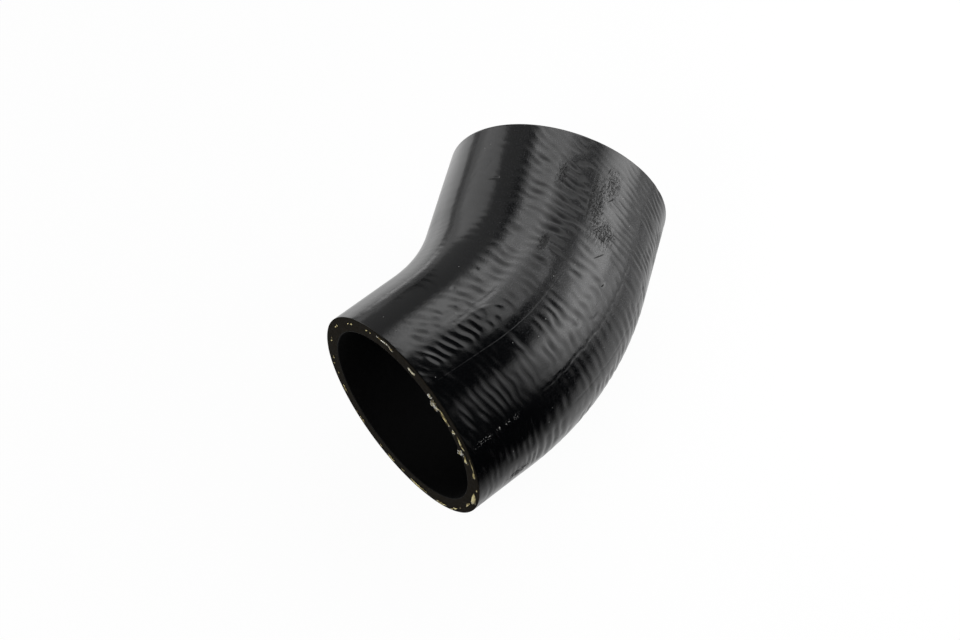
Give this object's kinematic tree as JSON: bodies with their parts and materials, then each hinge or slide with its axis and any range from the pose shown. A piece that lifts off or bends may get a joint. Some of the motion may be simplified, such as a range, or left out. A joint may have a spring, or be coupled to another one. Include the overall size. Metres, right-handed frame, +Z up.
{
  "type": "air intake hose",
  "caption": "Short bent tube of yarn-reinforced black rubber that joins two air pipes of one size, with square-cut open ends.",
  "frame": {"origin": "middle of the base of the bounding box, with the hose lying on its side", "axes": "+X along the air's mean direction from the near cut to the far cut, half the bend to either side; +Y towards the inner side of the bend; +Z up, square to the bend's plane"},
  "size_m": [0.1218, 0.0868, 0.075],
  "materials": {
    "rubber": "semi-gloss, with shallow tape rings and scuffs",
    "yarn": "matt cut yarn ends in the wall"
  },
  "bodies": {
    "root": {"hose": "rubber"}
  },
  "joints": []
}
